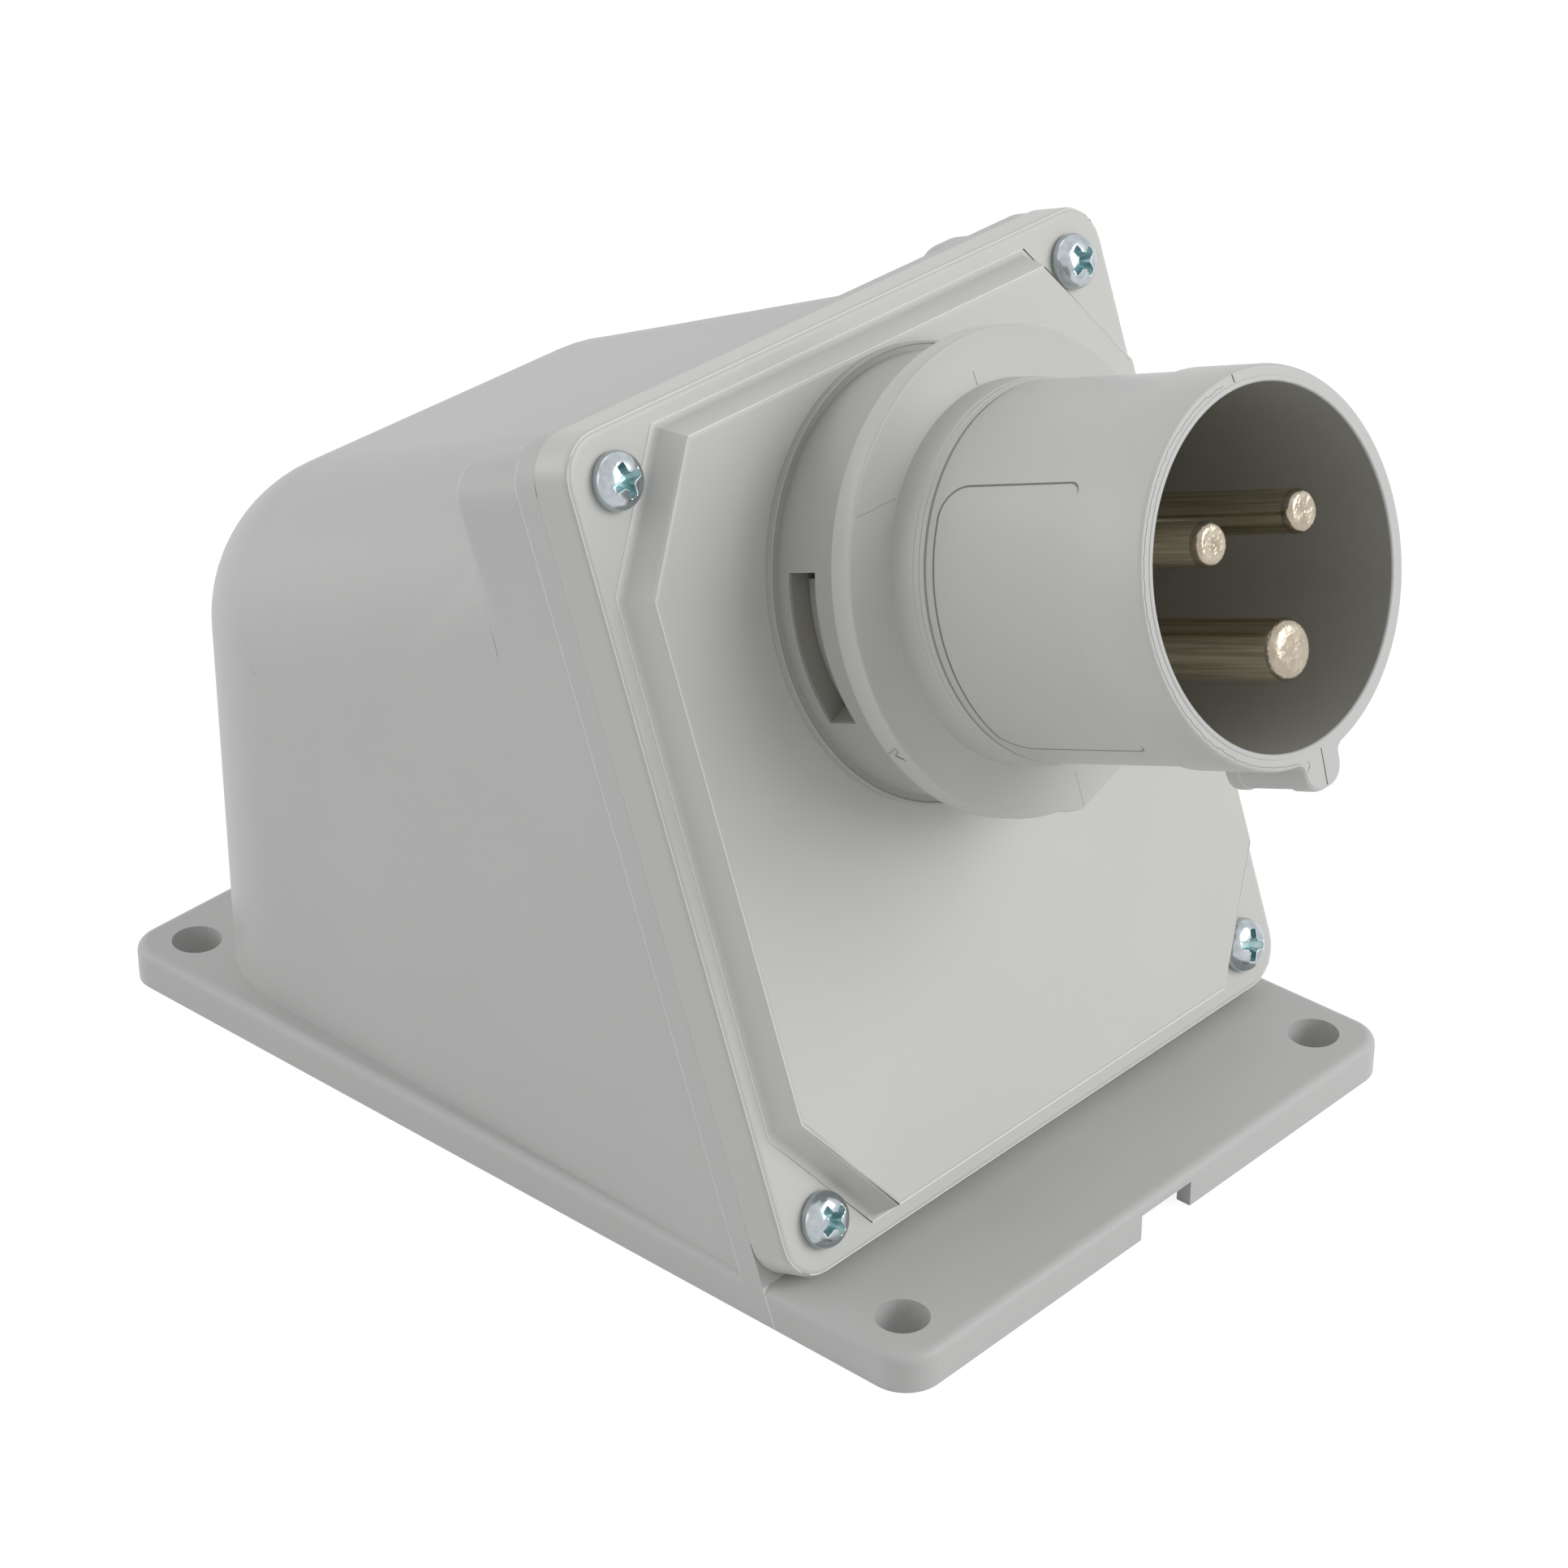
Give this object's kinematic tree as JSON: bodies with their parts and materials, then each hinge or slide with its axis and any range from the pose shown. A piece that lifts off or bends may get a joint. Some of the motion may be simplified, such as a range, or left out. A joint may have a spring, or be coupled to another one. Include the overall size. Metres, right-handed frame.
{
  "type": "wall mounted appliance inlet",
  "caption": "Wall mounted appliance inlet: box on a drilled wall plate, sloping screwed cover, round shrouded inlet with line, neutral and earth pins and a key.",
  "frame": {"origin": "centre of the four fixing holes, in the plane of the plate's wall side", "axes": "+Z away from the wall, -Y towards the inlet end, +Y towards the cable end, X across"},
  "size_m": [0.092, 0.1535, 0.1125],
  "materials": {
    "housing": "satin moulded thermoplastic, light grey",
    "cover": "satin moulded thermoplastic, light warm grey",
    "collar": "satin moulded thermoplastic, light grey",
    "shroud": "satin moulded thermoplastic, light grey",
    "lock": "satin moulded thermoplastic, light grey",
    "carrier": "moulded insulating thermoplastic, dark grey",
    "seal": "soft moulded rubber",
    "rubber": "soft moulded rubber, mid grey",
    "screw": "bright blue passivated zinc",
    "contact": "nickel plated brass"
  },
  "bodies": {
    "root": {"housing": "housing", "cover": "cover", "cover_gasket": "seal", "cover_screw_upper_near": "screw", "cover_screw_upper_far": "screw", "cover_screw_lower_near": "screw", "cover_screw_lower_far": "screw", "mounting_collar": "collar", "inlet_gasket": "seal", "lock_ring": "lock", "inlet_shroud": "shroud", "inlet_nut": "lock", "pin_carrier": "carrier", "carrier_screw_a": "screw", "carrier_screw_b": "screw", "pin_line": "contact", "pin_neutral": "contact", "pin_earth": "contact", "clamp_screw_line": "screw", "clamp_screw_neutral": "screw", "clamp_screw_earth": "screw", "cable_grommet": "rubber"}
  },
  "joints": []
}
